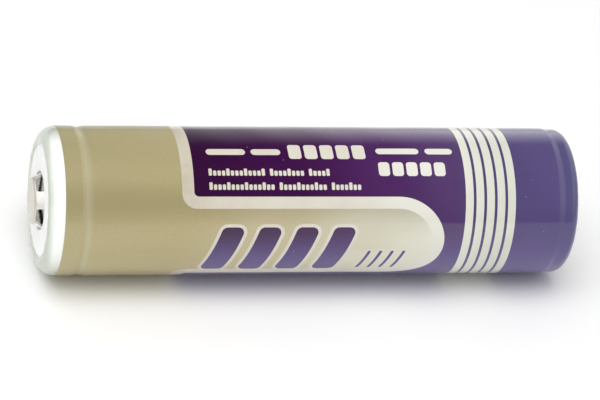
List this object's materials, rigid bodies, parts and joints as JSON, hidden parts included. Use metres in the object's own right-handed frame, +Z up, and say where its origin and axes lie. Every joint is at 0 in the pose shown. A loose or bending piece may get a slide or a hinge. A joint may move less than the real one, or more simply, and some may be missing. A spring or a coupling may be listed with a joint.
{
  "type": "cylindrical battery cell",
  "caption": "Cylindrical rechargeable lithium-ion cell with a raised vented button at the positive end, a wrapped body and a flat contact on a protection board at the negative end.",
  "frame": {"origin": "on the cell's axis, midway between the button's face and the negative contact's face", "axes": "+X along the axis from the positive button to the negative contact, +Y towards the raised stretch of sleeve over the nickel strip, +Z up"},
  "size_m": [0.069, 0.0188, 0.0186],
  "materials": {
    "printed_film": "glossy printed heat-shrink film",
    "white_fibre": "matt white pressed fibre",
    "nickel": "satin nickel plate",
    "kraft_paper": "matt tan insulating paper",
    "blue_film": "glossy plain heat-shrink film",
    "can_steel": "satin nickel-plated deep-drawn steel",
    "black_polymer": "matt black polypropylene",
    "ptc_polymer": "matt grey-green filled polymer",
    "aluminium_sheet": "bright rolled aluminium",
    "natural_polymer": "translucent natural polymer",
    "cathode_coat": "matt black oxide coating on aluminium foil",
    "anode_coat": "matt graphite coating on copper foil",
    "separator_film": "matt white porous film",
    "green_tape": "glossy green adhesive tape",
    "steel_sheet": "plain rolled steel",
    "board_laminate": "green solder mask on glass-epoxy board",
    "chip_black": "matt black moulding compound with tinned pins",
    "chip_tan": "tan ceramic with tinned ends"
  },
  "bodies": {
    "root": {"outer_sleeve": "printed_film", "top_washer": "white_fibre", "button_cap": "nickel", "positive_lead": "nickel", "lead_paper": "kraft_paper", "cell_washer": "white_fibre", "inner_sleeve": "blue_film", "can": "can_steel", "crimp_gasket": "black_polymer", "top_cap": "can_steel", "ptc_ring": "ptc_polymer", "vent_disc": "aluminium_sheet", "cid_insulator": "natural_polymer", "cid_plate": "aluminium_sheet", "positive_tab": "aluminium_sheet", "top_insulator": "natural_polymer", "cathode": "cathode_coat", "anode": "anode_coat", "separator_inner": "separator_film", "separator_outer": "separator_film", "roll_tape": "green_tape", "centre_pin": "steel_sheet", "bottom_insulator": "natural_polymer", "negative_tab": "nickel", "board_insulator": "kraft_paper", "negative_lead": "nickel", "board_spacer": "black_polymer", "protection_board": "board_laminate", "mosfets": "chip_black", "protection_chip": "chip_black", "chip_resistors": "chip_black", "chip_capacitors": "chip_tan", "negative_contact": "nickel"},
    "vent_coin": {"vent_coin": "aluminium_sheet"}
  },
  "joints": [
    {"name": "vent_trip", "type": "slide", "parent": "root", "child": "vent_coin", "axis": [-1, 0, 0], "range_m": [0, 0.0008]}
  ]
}
